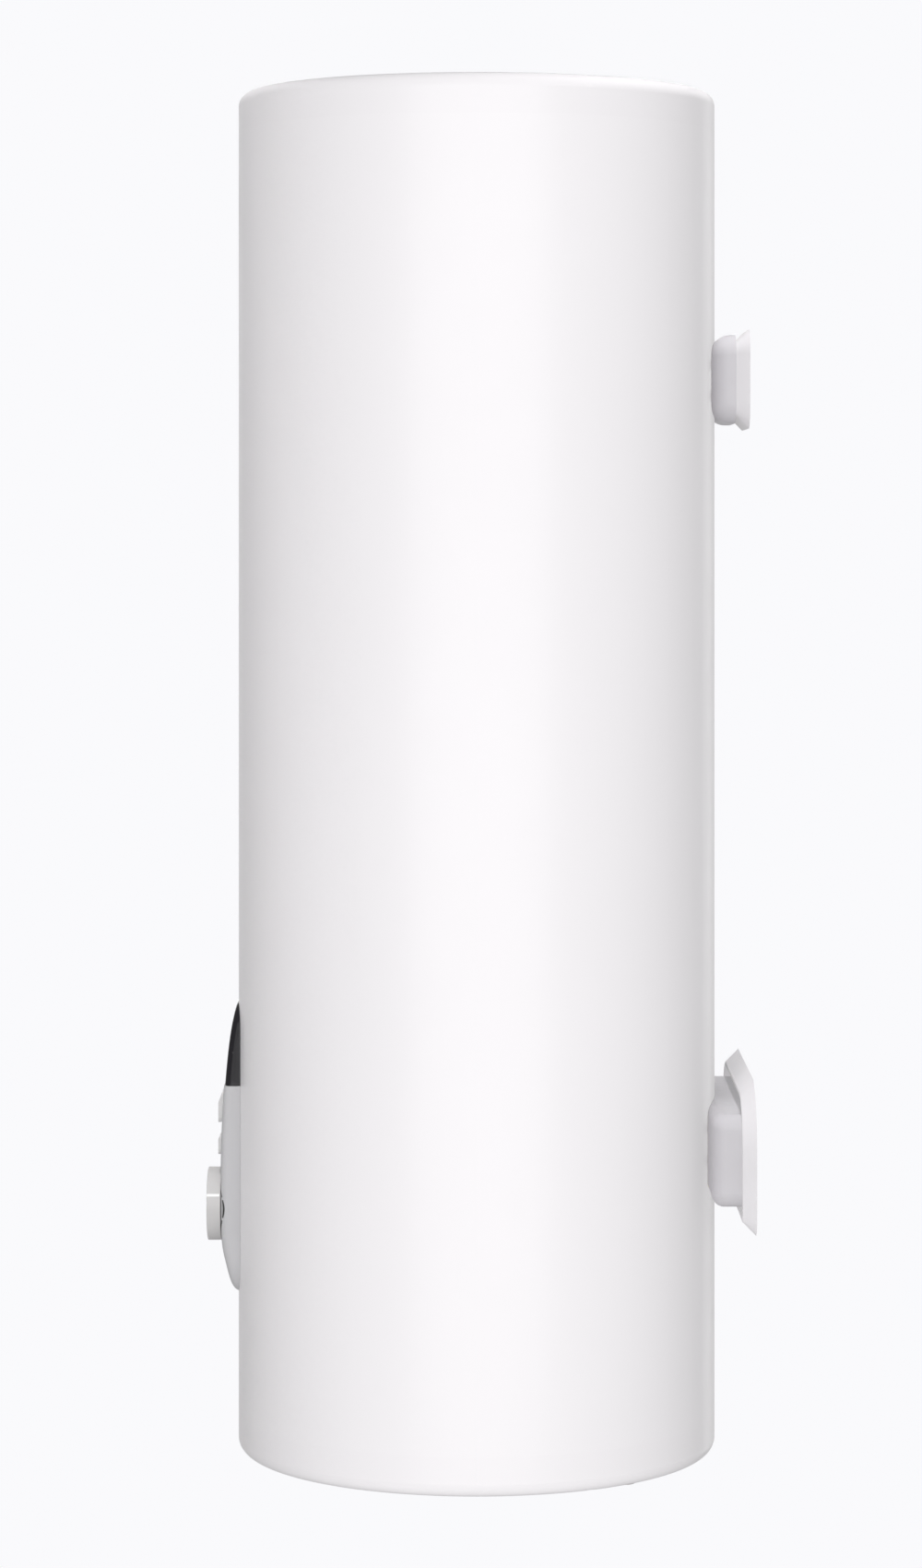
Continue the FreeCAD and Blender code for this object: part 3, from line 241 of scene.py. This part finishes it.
def make_materials():
    made = {}

    def add(slot, *args, **kwargs):
        made[slot] = finish_material("finish_" + slot, *args, **kwargs)

    paint = {"variation": 0.006, "patch": 5.0, "grain": 700.0, "bump": 0.035}
    add("casing_white", (0.83, 0.81, 0.829), 0.36, coat=0.25, coat_roughness=0.16, **paint)
    add("cap_white", (0.83, 0.81, 0.829), 0.36, coat=0.25, coat_roughness=0.16, **paint)
    add("cover_white", (0.78, 0.78, 0.775), 0.45, variation=0.012, grain=1500, bump=0.08)
    add("panel_white", (0.50, 0.495, 0.51), 0.42, variation=0.01, patch=30, grain=2600,
        bump=0.06)
    add("button_white", (0.68, 0.675, 0.675), 0.38, variation=0.012, patch=60, grain=3000,
        bump=0.04)
    add("knob_white", (0.53, 0.52, 0.52), 0.40, variation=0.012, patch=50, grain=3000,
        bump=0.04, specular=0.4)
    add("pointer_light", (0.88, 0.88, 0.88), 0.22, variation=0.01, patch=90, grain=2500,
        bump=0.02)
    add("lens_dark", (0.010, 0.009, 0.012), 0.13, variation=0.15, rough_spread=0.02, patch=20,
        grain=400, bump=0.01, specular=0.22)
    add("bracket_grey", (0.525, 0.51, 0.535), 0.42, variation=0.03, patch=22, grain=1400,
        bump=0.08)
    add("bracket_white", (0.75, 0.735, 0.755), 0.40, variation=0.015, patch=22, grain=1400,
        bump=0.08)
    add("foam", (0.86, 0.78, 0.52), 0.95, variation=0.10, patch=18, grain=260, bump=0.9)
    add("tank_steel", (0.055, 0.062, 0.075), 0.5, metallic=0.25, variation=0.18, patch=12,
        grain=500, bump=0.25, dirt=((0.16, 0.09, 0.05), 0.25))
    add("seal_rubber", (0.018, 0.018, 0.019), 0.8, variation=0.15, patch=40, grain=1200,
        bump=0.3)
    add("zinc_steel", (0.60, 0.60, 0.585), 0.32, metallic=1.0, variation=0.06, patch=60,
        grain=1500, bump=0.10)
    add("element_sheath", (0.36, 0.34, 0.33), 0.38, metallic=1.0, variation=0.10, patch=40,
        grain=1200, bump=0.12, stretch=(1, 1, 0.08))
    add("brass_fitting", (0.66, 0.46, 0.18), 0.28, metallic=1.0, variation=0.06, patch=70,
        grain=1600, bump=0.08)
    add("magnesium", (0.52, 0.53, 0.54), 0.62, metallic=0.8, variation=0.14, patch=26,
        grain=420, bump=0.5)
    add("dark_plastic", (0.022, 0.022, 0.025), 0.55, variation=0.12, patch=50, grain=2200,
        bump=0.10)
    add("grey_plastic", (0.17, 0.175, 0.18), 0.55, variation=0.05, patch=40, grain=2000,
        bump=0.12)
    add("cream_plastic", (0.66, 0.60, 0.44), 0.5, variation=0.04, patch=60, grain=2000,
        bump=0.08)
    add("reset_red", (0.55, 0.02, 0.015), 0.35, variation=0.06, patch=80, grain=2200,
        bump=0.05)
    add("ring_blue", (0.012, 0.055, 0.42), 0.34, variation=0.06, patch=70, grain=2200,
        bump=0.05)
    add("ring_red", (0.50, 0.018, 0.014), 0.34, variation=0.06, patch=70, grain=2200,
        bump=0.05)
    add("wire_sheath", (0.03, 0.03, 0.033), 0.45, variation=0.10, patch=60, grain=1800,
        bump=0.08)
    add("board_green", (0.014, 0.10, 0.045), 0.35, variation=0.20, patch=90, grain=2400,
        bump=0.10)
    add("print_black", (0.012, 0.012, 0.013), 0.45, variation=0.10, patch=120, grain=4000,
        bump=0.03)
    add("print_grey", (0.16, 0.16, 0.17), 0.45, variation=0.06, patch=120, grain=4000,
        bump=0.03)
    add("ghost_segment", (0.055, 0.045, 0.048), 0.30, variation=0.08, patch=120, grain=3000,
        bump=0.02)
    return made


FINISH = make_materials()


def paint_cad_nodes():
    """Gives every carried-over CAD node the finish of its material slot."""
    for entry in frame["record"]["subparts"]:
        node = frame["nodes"][entry["node"]]
        node.data.materials.clear()
        node.data.materials.append(FINISH[entry["material_slot"]])
    for name in SOFTLY_LIT:
        node = frame["nodes"][name]
        node.visible_diffuse = False
        node.visible_glossy = False


# ---------------------------------------------------------------- mesh helpers
def new_object(name, vertices, faces, finish, body=BODY, smooth_deg=35.0):
    mesh = bpy.data.meshes.new(name)
    mesh.from_pydata([tuple(v) for v in vertices], [], faces)
    work = bmesh.new()
    work.from_mesh(mesh)
    bmesh.ops.remove_doubles(work, verts=work.verts, dist=1e-7)
    bmesh.ops.recalc_face_normals(work, faces=work.faces)
    work.to_mesh(mesh)
    work.free()
    mesh.update()
    obj = bpy.data.objects.new(name, mesh)
    bpy.context.scene.collection.objects.link(obj)
    obj.data.materials.append(FINISH[finish])
    for polygon in mesh.polygons:
        polygon.use_smooth = True
    mark_sharp(mesh, smooth_deg)
    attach(obj, body)
    return obj


def mark_sharp(mesh, degrees):
    """Marks edges sharper than the angle, so smooth shading breaks there."""
    limit = math.radians(degrees)
    work = bmesh.new()
    work.from_mesh(mesh)
    for edge in work.edges:
        if len(edge.link_faces) == 2 and edge.calc_face_angle(0) > limit:
            edge.smooth = False
    work.to_mesh(mesh)
    work.free()


def arc_points(centre, radius, start_deg, end_deg, steps):
    """Points of an arc in the plane of a lathe outline, as (radius, height) pairs."""
    points = []
    for i in range(steps + 1):
        angle = math.radians(start_deg + (end_deg - start_deg) * i / steps)
        points.append((centre[0] + radius * math.cos(angle),
                       centre[1] + radius * math.sin(angle)))
    return points


def lathe(name, outline, centre, axis, finish, body=BODY, steps=128, radius_of=None):
    """Turns an outline of (radius, distance along axis) pairs about an axis.

    radius_of(radius, distance, angle) may change a radius to cut threads or flutes.
    """
    turn = axis.to_track_quat("Z", "Y").to_matrix()
    vertices = []
    faces = []
    count = len(outline)
    for i in range(steps):
        angle = 2 * math.pi * i / steps
        for radius, distance in outline:
            r = radius if radius_of is None else radius_of(radius, distance, angle)
            local = Vector((r * math.cos(angle), r * math.sin(angle), distance))
            vertices.append(centre + turn @ local)
    for i in range(steps):
        following = (i + 1) % steps
        for j in range(count - 1):
            faces.append((i * count + j, following * count + j, following * count + j + 1,
                          i * count + j + 1))
    return new_object(name, vertices, faces, finish, body)


# ---------------------------------------------------------------- printing on the panel
def drop_on(target, x, z):
    """Point and outward normal where a line along +Y from the front meets a CAD node."""
    start = Vector((x, CAD_BOX[0].y - RAY_START, z))
    hit, place, normal, _ = target.ray_cast(start, Vector((0, 1, 0)))
    if not hit:
        return None
    return place, normal


def printed_patch(name, corner_rows, target, finish, body=BODY):
    """Thin print laid over a node's front: corner_rows is a grid of (x, z) points."""
    front = []
    back = []
    for row in corner_rows:
        for x, z in row:
            found = drop_on(target, x, z)
            if found is None:
                return None
            place, normal = found
            front.append(place + normal * (PRINT_LIFT + PRINT_T))
            back.append(place + normal * PRINT_LIFT)
    rows = len(corner_rows)
    columns = len(corner_rows[0])
    total = rows * columns
    vertices = front + back
    faces = []
    for i in range(rows - 1):
        for j in range(columns - 1):
            a = i * columns + j
            quad = (a, a + 1, a + columns + 1, a + columns)
            faces.append(quad)
            faces.append(tuple(total + k for k in reversed(quad)))
    border = list(range(columns))
    border += [i * columns + columns - 1 for i in range(1, rows)]
    border += [(rows - 1) * columns + j for j in range(columns - 2, -1, -1)]
    border += [i * columns for i in range(rows - 2, 0, -1)]
    for a, b in zip(border, border[1:] + border[:1]):
        faces.append((a, b, total + b, total + a))
    return new_object(name, vertices, faces, finish, body)


def arc_grid(cx, cz, inner, outer, start_deg, end_deg, steps, across=3):
    """Grid of (x, z) points of an arc band; angles clockwise from the top."""
    rows = []
    for i in range(steps + 1):
        share = i / steps
        angle = math.radians(start_deg + (end_deg - start_deg) * share)
        low = inner(share) if callable(inner) else inner
        high = outer(share) if callable(outer) else outer
        row = []
        for j in range(across + 1):
            r = low + (high - low) * j / across
            row.append((cx + r * math.sin(angle), cz + r * math.cos(angle)))
        rows.append(row)
    return rows


def make_dial_scale(housing):
    """Printed scale round the knob: bars that widen clockwise from cold to hot."""
    each = SCALE_SWEEP / SCALE_SEGMENTS
    for i in range(SCALE_SEGMENTS):
        start = -SCALE_SWEEP / 2 + each * i + SCALE_GAP_DEG / 2
        end = start + each - SCALE_GAP_DEG
        half = SCALE_THIN + (SCALE_WIDE - SCALE_THIN) * i / (SCALE_SEGMENTS - 1)
        grid = arc_grid(0.0, KNOB_Z, SCALE_R - half * 0.6, SCALE_R + half * 0.4, start, end,
                        10, 2)
        printed_patch(f"dial_bar_{i + 1}", grid, housing, "print_black")


def bar_grid(cx, cz, width, height, columns=3, rows=3, lean=0.0):
    grid = []
    for i in range(rows + 1):
        z = cz + height * (i / rows - 0.5)
        row = []
        for j in range(columns + 1):
            x = cx + width * (j / columns - 0.5) + lean * (z - cz)
            row.append((x, z))
        grid.append(row)
    return grid


def make_button_icons():
    """Generic symbols: a power ring on the upper button, a wave on the lower one."""
    power_low, power_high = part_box("power_button")
    mode_low, mode_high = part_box("mode_button")
    power = frame["nodes"]["power_button"]
    mode = frame["nodes"]["mode_button"]
    cz = power_low.z + ICON_SHARE * (power_high.z - power_low.z)
    ring = arc_grid(0.0, cz, POWER_ICON_R - ICON_LINE_HALF, POWER_ICON_R + ICON_LINE_HALF,
                    35, 325, 40, 1)
    printed_patch("power_icon_ring", ring, power, "print_grey", "power_button")
    bar = bar_grid(0.0, cz + POWER_BAR_RISE, *POWER_BAR, 1, 4)
    printed_patch("power_icon_bar", bar, power, "print_grey", "power_button")
    cz = mode_low.z + ICON_SHARE * (mode_high.z - mode_low.z)
    rows = []
    steps = 40
    for i in range(steps + 1):
        x = WAVE_W * (i / steps - 0.5)
        z = cz + WAVE_H * math.sin(2 * math.pi * i / steps)
        rows.append([(x, z - ICON_LINE_HALF), (x, z + ICON_LINE_HALF)])
    printed_patch("mode_icon", rows, mode, "print_grey", "mode_button")


def make_display_segments(lens):
    """Unlit digits of the temperature display, just showing under the dark lens."""
    lens_height = LENS_HIGH.z - LENS_LOW.z
    centre_z = LENS_LOW.z + DIGIT_SHARE * lens_height
    for number, cx in enumerate(DIGIT_PLACES):
        places = [(0, 0, True), (0, 1, True), (0, -1, True), (-1, 0.5, False),
                  (1, 0.5, False), (-1, -0.5, False), (1, -0.5, False)]
        for k, (sx, sz, flat) in enumerate(places):
            z = centre_z + sz * DIGIT_H / 2
            x = cx + sx * DIGIT_W / 2 + DIGIT_SLANT * (z - centre_z)
            long = (DIGIT_W if flat else DIGIT_H / 2) - DIGIT_STROKE * 1.25
            if flat:
                grid = bar_grid(x, z, long, DIGIT_STROKE, 3, 1)
            else:
                grid = bar_grid(x, z, DIGIT_STROKE, long, 1, 3, DIGIT_SLANT)
            printed_patch(f"digit_{number + 1}_{k + 1}", grid, lens, "ghost_segment")
    ring = arc_grid(DEGREE_X, centre_z + DIGIT_H * 0.42, *DEGREE_RING, 0, 359.9, 24, 1)
    printed_patch("degree_ring", ring, lens, "ghost_segment")
    for i, share in enumerate(DOT_SHARES):
        z = LENS_LOW.z + share * lens_height
        dot = arc_grid(DOT_X, z, 0.05 * MM, DOT_R, 0, 359.9, 20, 1)
        printed_patch(f"status_dot_{i + 1}", dot, lens, "ghost_segment")


# ---------------------------------------------------------------- knob
def knob_outline():
    """Half section of the knob, distances measured back from its front face."""
    rim = arc_points((KNOB_R - KNOB_BEVEL, KNOB_BEVEL), KNOB_BEVEL, -90, 0, 6)
    face = [(0.0, KNOB_DISH), (KNOB_R * 0.45, KNOB_DISH * 0.8), (KNOB_R * FACE_SLOPE, KNOB_DISH * 0.4),
            (KNOB_R * FACE_RIM, 0.0)]
    depth = HUB_BACK - KNOB_FRONT
    inside = KNOB_R - KNOB_WALL
    back = [(KNOB_R, KNOB_SKIRT * 0.6), (KNOB_R - 0.05 * MM, KNOB_SKIRT),
            (inside, KNOB_SKIRT), (inside, KNOB_WALL), (KNOB_HUB_R, KNOB_WALL),
            (KNOB_HUB_R, depth), (KNOB_SHAFT_R, depth), (KNOB_SHAFT_R, KNOB_WALL),
            (0.0, KNOB_WALL)]
    return face + rim + back


def make_knob():
    centre = Vector((0, KNOB_FRONT, KNOB_Z))
    knob = lathe("knob_cap", knob_outline(), centre, Vector((0, 1, 0)), "knob_white",
                 "control_knob", 160)
    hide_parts("control_knob")
    return knob


def make_pointer():
    """Light inlay that runs from the knob's face over its rim and down its side."""
    start = KNOB_R * 0.46
    corner = KNOB_BEVEL + POINTER_PROUD
    path = [(start, -POINTER_PROUD + KNOB_DISH * 0.8),
            (KNOB_R * FACE_SLOPE, -POINTER_PROUD + KNOB_DISH * 0.4),
            (KNOB_R * FACE_RIM, -POINTER_PROUD)]
    path += arc_points((KNOB_R - KNOB_BEVEL, KNOB_BEVEL), corner, -90, 0, 6)
    path.append((KNOB_R + POINTER_PROUD, KNOB_SKIRT - POINTER_END))
    inner = [(min(r, KNOB_R - POINTER_SUNK), max(d, POINTER_SUNK)) for r, d in path]
    angle = math.radians(POINTER_DEG)
    out = Vector((math.sin(angle), 0, math.cos(angle)))
    side = Vector((math.cos(angle), 0, -math.sin(angle)))
    origin = Vector((0, KNOB_FRONT, KNOB_Z))
    vertices = []
    for ring in (path, inner):
        for sign in (-1, 1):
            for r, d in ring:
                vertices.append(origin + out * r + side * (POINTER_HALF * sign) + Vector((0, d, 0)))
    n = len(path)
    faces = []
    for i in range(n - 1):
        faces.append((i, i + 1, n + i + 1, n + i))
        faces.append((2 * n + i, 3 * n + i, 3 * n + i + 1, 2 * n + i + 1))
        faces.append((i, 2 * n + i, 2 * n + i + 1, i + 1))
        faces.append((n + i, n + i + 1, 3 * n + i + 1, 3 * n + i))
    faces.append((0, n, 3 * n, 2 * n))
    faces.append((n - 1, 3 * n - 1, 4 * n - 1, 2 * n - 1))
    pointer = new_object("pointer_inlay", vertices, faces, "pointer_light", "control_knob")
    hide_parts("knob_pointer")
    return pointer


# ---------------------------------------------------------------- water connections
def make_nipple(name, node, slot):
    """Steel nipple with a real helical thread on its exposed end."""
    low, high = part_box(node)
    centre = Vector(((low.x + high.x) / 2, (low.y + high.y) / 2, low.z))
    body_r = (high.x - low.x) / 2
    thread_r = body_r - NIPPLE_THREAD_STEP
    length = high.z - low.z
    step = THREAD_PITCH / 8
    count = int(NIPPLE_THREAD_L / step)
    outline = [(NIPPLE_BORE, length), (NIPPLE_BORE, NIPPLE_CHAMFER), (NIPPLE_BORE + NIPPLE_CHAMFER, 0.0)]
    outline += [(thread_r, step * i) for i in range(1, count)]
    outline += [(thread_r, NIPPLE_THREAD_L), (body_r, NIPPLE_THREAD_L), (body_r, length),
                (NIPPLE_BORE, length)]

    def cut(radius, distance, angle):
        if radius != thread_r or distance >= NIPPLE_THREAD_L - 0.2 * MM:
            return radius
        phase = (distance / THREAD_PITCH - angle / (2 * math.pi)) % 1.0
        lead = min(1.0, distance / (2.0 * MM))
        return radius - THREAD_DEPTH * abs(2 * phase - 1) - (1 - lead) * 0.5 * MM

    pipe = lathe(name, outline, centre, Vector((0, 0, 1)), slot, BODY, 72, cut)
    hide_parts(node)
    return pipe


# ---------------------------------------------------------------- casing details
def make_rear_seam():
    """Folded lock seam of the rolled casing, running down its back as a closed strip."""
    steps = 10
    section = []
    for i in range(steps + 1):
        across = -SEAM_HALF + 2 * SEAM_HALF * i / steps
        edge = min(1.0, (SEAM_HALF - abs(across)) / SEAM_ROUND)
        section.append((across, CASING_R + SEAM_PROUD * math.sin(edge * math.pi / 2)))
    section += [(SEAM_HALF, CASING_R - SEAM_SUNK), (-SEAM_HALF, CASING_R - SEAM_SUNK)]
    centre_angle = math.radians(SEAM_DEG)
    vertices = []
    for z in (CASING_LOW.z + SEAM_MARGIN, CASING_HIGH.z - SEAM_MARGIN):
        for across, r in section:
            angle = centre_angle + across / CASING_R
            vertices.append((r * math.cos(angle), AXIS_Y + r * math.sin(angle), z))
    n = len(section)
    faces = [(i, (i + 1) % n, n + (i + 1) % n, n + i) for i in range(n)]
    faces += [tuple(range(n)), tuple(range(2 * n - 1, n - 1, -1))]
    return new_object("casing_seam", vertices, faces, "casing_white")


# ---------------------------------------------------------------- stage, light and camera
LENS_MM = 100.376          # with a 36 mm sensor along the frame's longer side
SENSOR = 36.0
CAMERA_DISTANCE = 3.349    # from the tank's axis
CAMERA_HEIGHT = 0.712      # above the casing's lowest edge
SHIFT_X = -0.00994
SHIFT_Y = -0.1706
FLOOR_DROP = 0.35
BEAM_DEG = 14.0            # narrow lamps that reach only the brackets or the panel
BACKDROP = (0.955, 0.955, 0.975)
# How bright the studio round the object is, from behind it (0) to the camera's side (1).
# The ramp's two ends come first.
SURROUND = ((0.0, 0.86), (1.0, 0.74), (0.02, 0.72), (0.07, 0.31), (0.28, 0.33), (0.5, 0.47),
            (0.75, 0.66))


def make_camera():
    data = bpy.data.cameras.new("camera")
    data.sensor_width = SENSOR
    data.lens = LENS_MM
    data.shift_x = SHIFT_X
    data.shift_y = SHIFT_Y
    data.clip_start = 0.05
    data.clip_end = 100.0
    camera = bpy.data.objects.new("camera", data)
    bpy.context.scene.collection.objects.link(camera)
    camera.location = (CAMERA_DISTANCE, AXIS_Y, BASE_Z + CAMERA_HEIGHT)
    camera.rotation_euler = (math.pi / 2, 0, math.pi / 2)
    bpy.context.scene.camera = camera


def area_light(name, place, target, size_x, size_y, watts, colour=(1, 1, 1)):
    data = bpy.data.lights.new(name, "AREA")
    data.shape = "RECTANGLE"
    data.size = size_x
    data.size_y = size_y
    data.energy = watts
    data.color = colour
    light = bpy.data.objects.new(name, data)
    bpy.context.scene.collection.objects.link(light)
    light.location = place
    direction = Vector(target) - Vector(place)
    light.rotation_euler = direction.to_track_quat("-Z", "Y").to_euler()
    return light


def make_world():
    """Even studio white for the camera; a softer, darker-sided surround for the light."""
    world = bpy.data.worlds.new("studio")
    world.use_nodes = True
    bpy.context.scene.world = world
    tree = world.node_tree
    tree.nodes.clear()
    out = tree.nodes.new("ShaderNodeOutputWorld")
    mix = tree.nodes.new("ShaderNodeMixShader")
    path = tree.nodes.new("ShaderNodeLightPath")
    seen = tree.nodes.new("ShaderNodeBackground")
    seen.inputs["Color"].default_value = (*BACKDROP, 1)
    seen.inputs["Strength"].default_value = 1.0
    lit = tree.nodes.new("ShaderNodeBackground")
    lit.inputs["Strength"].default_value = 1.0
    coords = tree.nodes.new("ShaderNodeTexCoord")
    split = tree.nodes.new("ShaderNodeSeparateXYZ")
    tree.links.new(coords.outputs["Generated"], split.inputs["Vector"])
    across = tree.nodes.new("ShaderNodeMapRange")
    across.inputs["From Min"].default_value = -1.0
    across.inputs["From Max"].default_value = 1.0
    tree.links.new(split.outputs["X"], across.inputs["Value"])
    ramp = tree.nodes.new("ShaderNodeValToRGB")
    ramp.color_ramp.interpolation = "EASE"
    stops = ramp.color_ramp.elements
    for index, (place, level) in enumerate(SURROUND):
        stop = stops[index] if index < 2 else stops.new(place)
        stop.position = place
        stop.color = (level, level, level, 1)
    tree.links.new(across.outputs["Result"], ramp.inputs["Fac"])
    tree.links.new(ramp.outputs["Color"], lit.inputs["Color"])
    tree.links.new(path.outputs["Is Camera Ray"], mix.inputs["Fac"])
    tree.links.new(lit.outputs["Background"], mix.inputs[1])
    tree.links.new(seen.outputs["Background"], mix.inputs[2])
    tree.links.new(mix.outputs["Shader"], out.inputs["Surface"])


def make_floor():
    """Pale studio floor, well below the hanging heater."""
    half = 14.0
    z = BASE_Z - FLOOR_DROP
    mesh = bpy.data.meshes.new("studio_floor")
    mesh.from_pydata([(-half, -half, z), (half, -half, z), (half, half, z), (-half, half, z)],
                     [], [(0, 1, 2, 3)])
    floor = bpy.data.objects.new("studio_floor", mesh)
    bpy.context.scene.collection.objects.link(floor)
    material = bpy.data.materials.new("studio_floor")
    material.use_nodes = True
    tree = material.node_tree
    tree.nodes.clear()
    out = tree.nodes.new("ShaderNodeOutputMaterial")
    glow = tree.nodes.new("ShaderNodeEmission")
    glow.inputs["Color"].default_value = (*BACKDROP, 1)
    tree.links.new(glow.outputs["Emission"], out.inputs["Surface"])
    floor.data.materials.append(material)
    floor.visible_diffuse = False
    floor.visible_glossy = False
    floor.visible_shadow = False


def make_lights():
    middle = (BASE_Z + TOP_Z) / 2
    centre = (0, AXIS_Y, middle)
    area_light("key_front", (3.6, AXIS_Y + 0.1, middle + 0.2), centre, 4.6, 3.0, 58.0)
    area_light("rim_wall_side", (-2.7, AXIS_Y + 1.8, middle + 0.1), centre, 0.8, 3.2, 6.5)
    quiet = [
        area_light("overhead", (0.5, AXIS_Y + 0.4, TOP_Z + 2.2), centre, 3.2, 3.2, 17.0),
        area_light("fill_panel_side", (0.4, -3.2, middle - 0.7), centre, 2.4, 2.6, 4.8),
        area_light("fill_wall_side", (0.6, 3.0, middle - 0.5), centre, 2.4, 2.6, 4.2),
        area_light("floor_bounce", (0.8, AXIS_Y, BASE_Z - 1.6), centre, 2.4, 2.4, 8.0),
    ]
    beams = [
        area_light("beam_on_brackets", (0.05, 0.05, TOP_Z + 1.5), (0.0, -0.02, BASE_Z),
                   0.4, 0.2, 0.24),
        area_light("beam_on_panel", (0.1, -0.6, TOP_Z + 1.5), (0.0, -0.41, KNOB_Z),
                   0.1, 0.1, 0.15),
    ]
    for beam in beams:
        beam.data.spread = math.radians(BEAM_DEG)
    for light in quiet + beams:
        light.visible_glossy = False


# ---------------------------------------------------------------- everything together
def main():
    paint_cad_nodes()
    housing = frame["nodes"]["panel_housing"]
    lens = frame["nodes"]["display_lens"]
    make_dial_scale(housing)
    make_button_icons()
    make_display_segments(lens)
    make_knob()
    make_pointer()
    make_nipple("cold_nipple", "cold_inlet", "zinc_steel")
    make_nipple("hot_nipple", "hot_outlet", "zinc_steel")
    make_rear_seam()
    make_camera()
    make_world()
    make_floor()
    make_lights()
    view = bpy.context.scene.view_settings
    view.view_transform = "Standard"


main()
